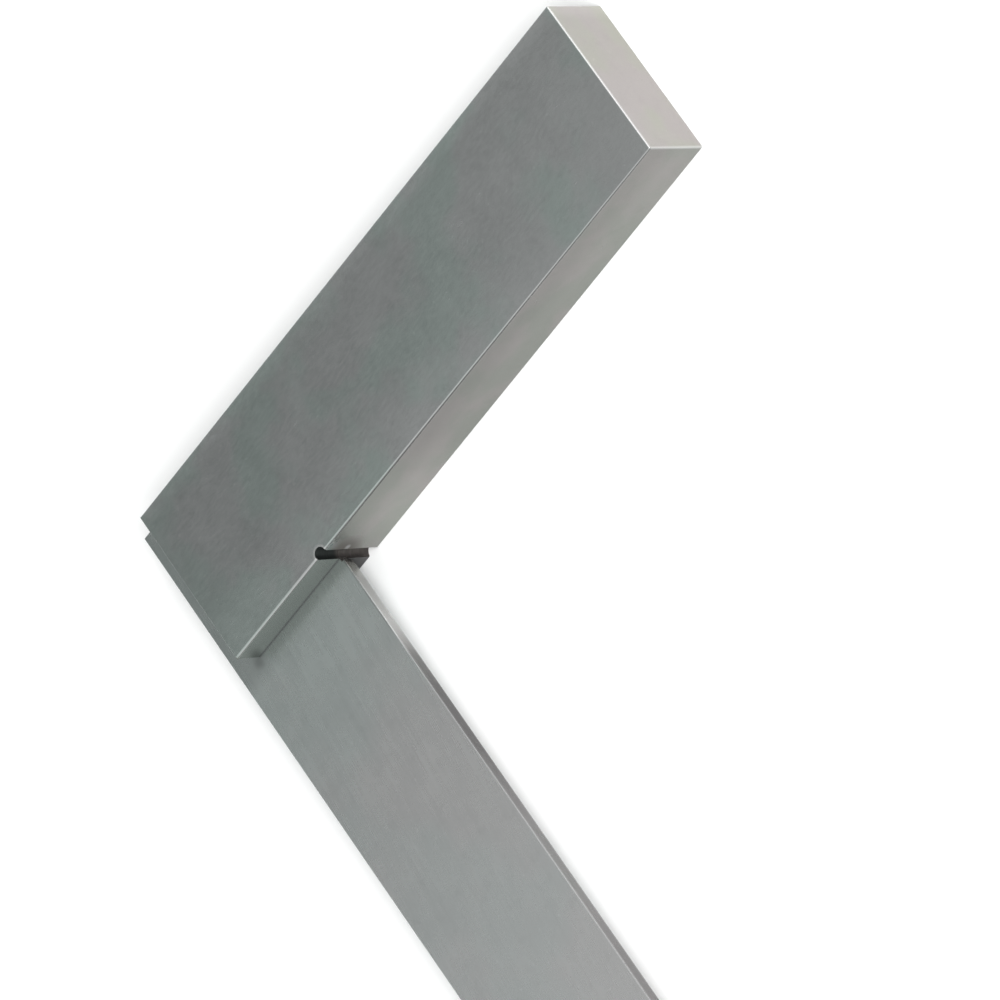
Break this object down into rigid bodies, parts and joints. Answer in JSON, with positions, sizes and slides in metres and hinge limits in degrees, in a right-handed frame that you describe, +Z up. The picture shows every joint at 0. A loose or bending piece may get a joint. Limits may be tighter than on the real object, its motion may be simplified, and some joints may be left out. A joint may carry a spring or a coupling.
{
  "type": "engineer's try square",
  "caption": "Flat steel try square: a thin blade riveted into a slotted rectangular stock, with a half-round relief groove in the inside corner.",
  "frame": {"origin": "centre of the underside of the whole square's box, with the square lying flat on one cheek of its stock", "axes": "+X along the blade towards its tip, +Y along the stock towards its free end, +Z up through the thickness"},
  "size_m": [0.176, 0.1068, 0.011],
  "materials": {
    "stock_steel": "surface ground, fine satin, edges lightly broken",
    "blade_steel": "ground along its length, fine straight grain",
    "rivet_steel": "peened and ground flush with the cheeks"
  },
  "bodies": {
    "root": {"stock": "stock_steel", "blade": "blade_steel", "rivet_1": "rivet_steel", "rivet_2": "rivet_steel", "rivet_3": "rivet_steel"}
  },
  "joints": []
}
